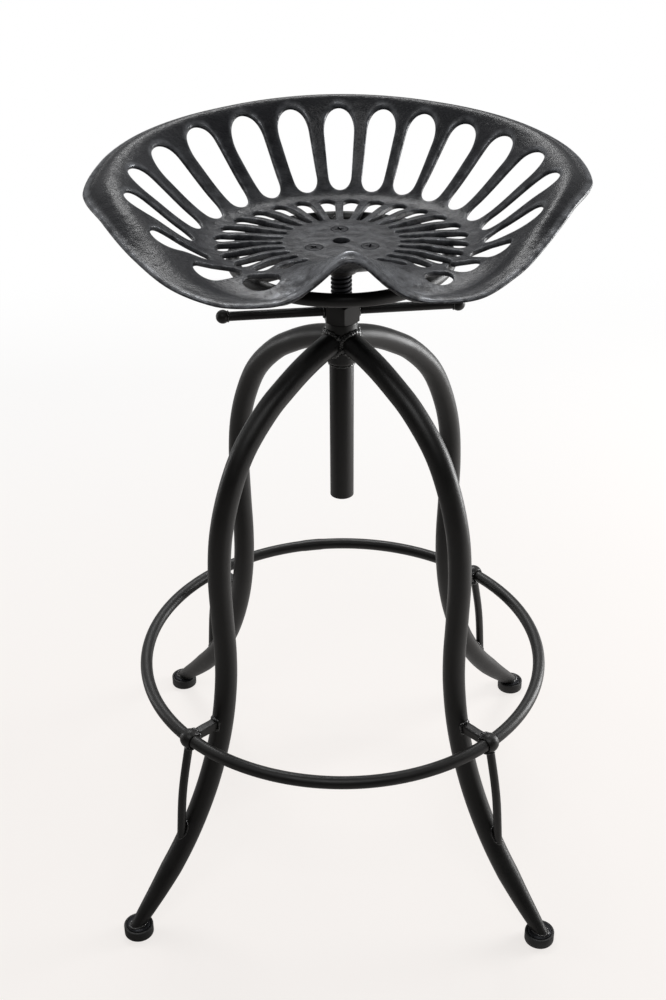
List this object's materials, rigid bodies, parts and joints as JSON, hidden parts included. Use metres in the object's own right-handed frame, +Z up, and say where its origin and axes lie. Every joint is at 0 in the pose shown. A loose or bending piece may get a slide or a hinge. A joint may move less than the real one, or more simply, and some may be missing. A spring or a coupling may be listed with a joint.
{
  "type": "tractor seat stool",
  "caption": "Height-adjustable stool with a slotted pan seat on a screw spindle, bent tube legs with rubber feet and a round foot ring.",
  "frame": {"origin": "on the floor, under the spindle's axis, midway between the feet", "axes": "+Z up along the spindle, +Y towards the seat's raised back, -Y towards the pommel at the sitter's front, +X to the sitter's left"},
  "size_m": [0.4496, 0.4502, 0.7228],
  "materials": {
    "seat_iron": "satin black paint over cast iron, lightly scuffed",
    "black_paint": "satin black powder coat",
    "dark_steel": "blackened steel",
    "foot_rubber": "matt black"
  },
  "bodies": {
    "underframe": {"hub": "black_paint", "sleeve_tube": "black_paint", "leg_1": "black_paint", "leg_2": "black_paint", "leg_3": "black_paint", "leg_4": "black_paint", "foot_disc_1": "dark_steel", "foot_disc_2": "dark_steel", "foot_disc_3": "dark_steel", "foot_disc_4": "dark_steel", "rubber_foot_1": "foot_rubber", "rubber_foot_2": "foot_rubber", "rubber_foot_3": "foot_rubber", "rubber_foot_4": "foot_rubber", "foot_ring": "black_paint", "ring_ball_1": "black_paint", "ring_ball_2": "black_paint", "ring_ball_3": "black_paint", "ring_ball_4": "black_paint", "ring_bar_1": "black_paint", "ring_bar_2": "black_paint", "ring_bar_3": "black_paint", "ring_bar_4": "black_paint", "ring_brace_1": "black_paint", "ring_brace_2": "black_paint", "ring_brace_3": "black_paint", "ring_brace_4": "black_paint"},
    "lift": {"stop_washer": "dark_steel"},
    "seat_unit": {"seat_casting": "seat_iron", "seat_plate": "black_paint", "seat_collar": "black_paint", "spindle": "dark_steel", "support_ring": "black_paint", "support_arm_1": "black_paint", "support_arm_2": "black_paint", "support_arm_3": "black_paint", "seat_screw_1": "dark_steel", "seat_screw_2": "dark_steel", "seat_screw_3": "dark_steel", "stop_screw": "dark_steel"},
    "lock": {"lock_nut": "black_paint", "lock_arm_1": "black_paint", "lock_arm_2": "black_paint", "lock_ball_1": "black_paint", "lock_ball_2": "black_paint"}
  },
  "joints": [
    {"name": "seat_height", "type": "slide", "parent": "underframe", "child": "lift", "axis": [0, 0, 1], "range_m": [-0.0251, 0.1081]},
    {"name": "seat_turn", "type": "hinge", "parent": "lift", "child": "seat_unit", "pos_m": [0, 0, 0.5], "axis": [0, 0, 1], "range_deg": [-2250, 9720]},
    {"name": "lock_turn", "type": "hinge", "parent": "underframe", "child": "lock", "pos_m": [0, 0, 0.579], "axis": [0, 0, 1], "range_deg": [0, 90]}
  ],
  "couplings": [
    {"joint": "seat_height", "follows": "seat_turn", "m_per_rad": 0.00063662}
  ]
}
